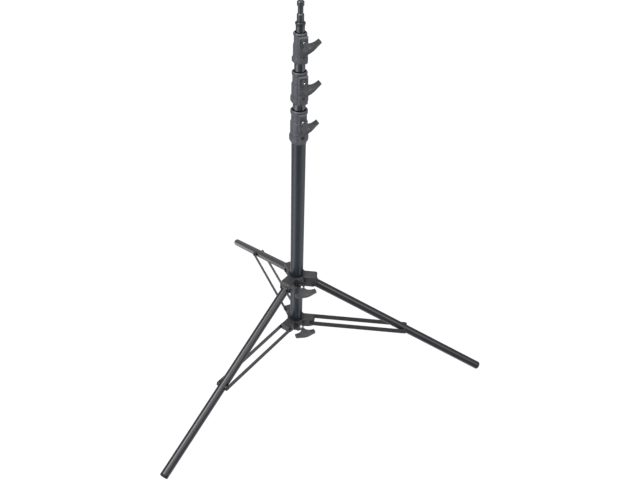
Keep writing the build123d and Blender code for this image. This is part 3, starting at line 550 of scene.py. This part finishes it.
def floor_material():
    """Plain pale floor that shades only a little."""
    material = bpy.data.materials.new("pale_floor")
    material.use_nodes = True
    shader = material.node_tree.nodes["Principled BSDF"]
    shader.inputs["Roughness"].default_value = FLOOR_ROUGHNESS
    shader.inputs["Specular IOR Level"].default_value = 0.0
    shader.inputs["Base Color"].default_value = (FLOOR_ALBEDO, FLOOR_ALBEDO, FLOOR_ALBEDO, 1)
    shader.inputs["Emission Color"].default_value = (1, 1, 1, 1)
    shader.inputs["Emission Strength"].default_value = FLOOR_GLOW
    return material


floor_mesh = bpy.data.meshes.new("floor")
floor_signs = [(-1, -1), (1, -1), (1, 1), (-1, 1)]
floor_corners = [(FLOOR_HALF * x, FLOOR_HALF * y, FLOOR_HEIGHT) for x, y in floor_signs]
floor_mesh.from_pydata(floor_corners, [], [(0, 1, 2, 3)])
floor_mesh.materials.append(floor_material())
floor = bpy.data.objects.new("floor", floor_mesh)
bpy.context.collection.objects.link(floor)
floor.visible_glossy = False
floor.visible_diffuse = False
floor.visible_shadow = False

world = bpy.data.worlds.new("studio")
bpy.context.scene.world = world
world.use_nodes = True
studio = world.node_tree.nodes
wire = world.node_tree.links.new


def studio_maths(operation, first, second):
    """Adds a maths node to the studio light; its inputs are sockets or numbers."""
    node = studio.new("ShaderNodeMath")
    node.operation = operation
    for socket, value in zip(node.inputs, (first, second)):
        if isinstance(value, (int, float)):
            socket.default_value = value
        else:
            wire(value, socket)
    return node.outputs[0]


direction = studio.new("ShaderNodeTexCoord").outputs["Generated"]
split = studio.new("ShaderNodeSeparateXYZ")
wire(direction, split.inputs[0])
horizon = studio.new("ShaderNodeMapRange")
horizon.interpolation_type = "SMOOTHSTEP"
horizon.inputs["From Min"].default_value = -HORIZON_BLEND
horizon.inputs["From Max"].default_value = HORIZON_BLEND
horizon.inputs["To Min"].default_value = GROUND_LEVEL
horizon.inputs["To Max"].default_value = SKY_LEVEL
wire(split.outputs["Z"], horizon.inputs["Value"])
brightness = horizon.outputs["Result"]
for azimuth, elevation, half_width, strength in SOFT_LIGHTS.values():
    level = math.cos(math.radians(elevation))
    towards = studio.new("ShaderNodeVectorMath")
    towards.operation = "DOT_PRODUCT"
    towards.inputs[1].default_value = (
        level * math.cos(math.radians(azimuth)),
        level * math.sin(math.radians(azimuth)),
        math.sin(math.radians(elevation)),
    )
    wire(direction, towards.inputs[0])
    falloff = math.log(0.5) / math.log(math.cos(math.radians(half_width)))
    glow = studio_maths("POWER", studio_maths("MAXIMUM", towards.outputs["Value"], 0.0), falloff)
    brightness = studio_maths("ADD", brightness, studio_maths("MULTIPLY", glow, strength))

straight_view = studio.new("ShaderNodeLightPath").outputs["Is Camera Ray"]
wire(studio_maths("MAXIMUM", brightness, straight_view), studio["Background"].inputs["Strength"])
backdrop = studio.new("ShaderNodeMix")
backdrop.data_type = "RGBA"
backdrop.inputs["A"].default_value = (*STUDIO_TINT, 1)
backdrop.inputs["B"].default_value = (1, 1, 1, 1)
wire(straight_view, backdrop.inputs["Factor"])
wire(backdrop.outputs["Result"], studio["Background"].inputs["Color"])

# ---- camera ----------------------------------------------------------------------------------
CAMERA_PLACE = Vector((0.16605, -1.39870, 1.56050))
CAMERA_AZIMUTH = math.radians(94.31)
CAMERA_PITCH = math.radians(38.727)
CAMERA_ROLL = 0.04153
LENS_MM = 38.24
SENSOR_MM = 36.0
FARTHEST_SEEN = 100

camera_data = bpy.data.cameras.new("camera")
camera_data.lens = LENS_MM
camera_data.sensor_width = SENSOR_MM
camera_data.clip_end = FARTHEST_SEEN
camera = bpy.data.objects.new("camera", camera_data)
bpy.context.collection.objects.link(camera)
forward = Vector((
    math.cos(CAMERA_AZIMUTH) * math.cos(CAMERA_PITCH),
    math.sin(CAMERA_AZIMUTH) * math.cos(CAMERA_PITCH),
    -math.sin(CAMERA_PITCH),
))
level_right = Vector((math.sin(CAMERA_AZIMUTH), -math.cos(CAMERA_AZIMUTH), 0))
upward = level_right.cross(forward)
right = level_right * math.cos(CAMERA_ROLL) + upward * math.sin(CAMERA_ROLL)
top = upward * math.cos(CAMERA_ROLL) - level_right * math.sin(CAMERA_ROLL)
turn = Matrix((right, top, -forward)).transposed().to_4x4()
camera.matrix_world = Matrix.Translation(CAMERA_PLACE) @ turn
bpy.context.scene.camera = camera
bpy.context.scene.view_settings.view_transform = "Standard"
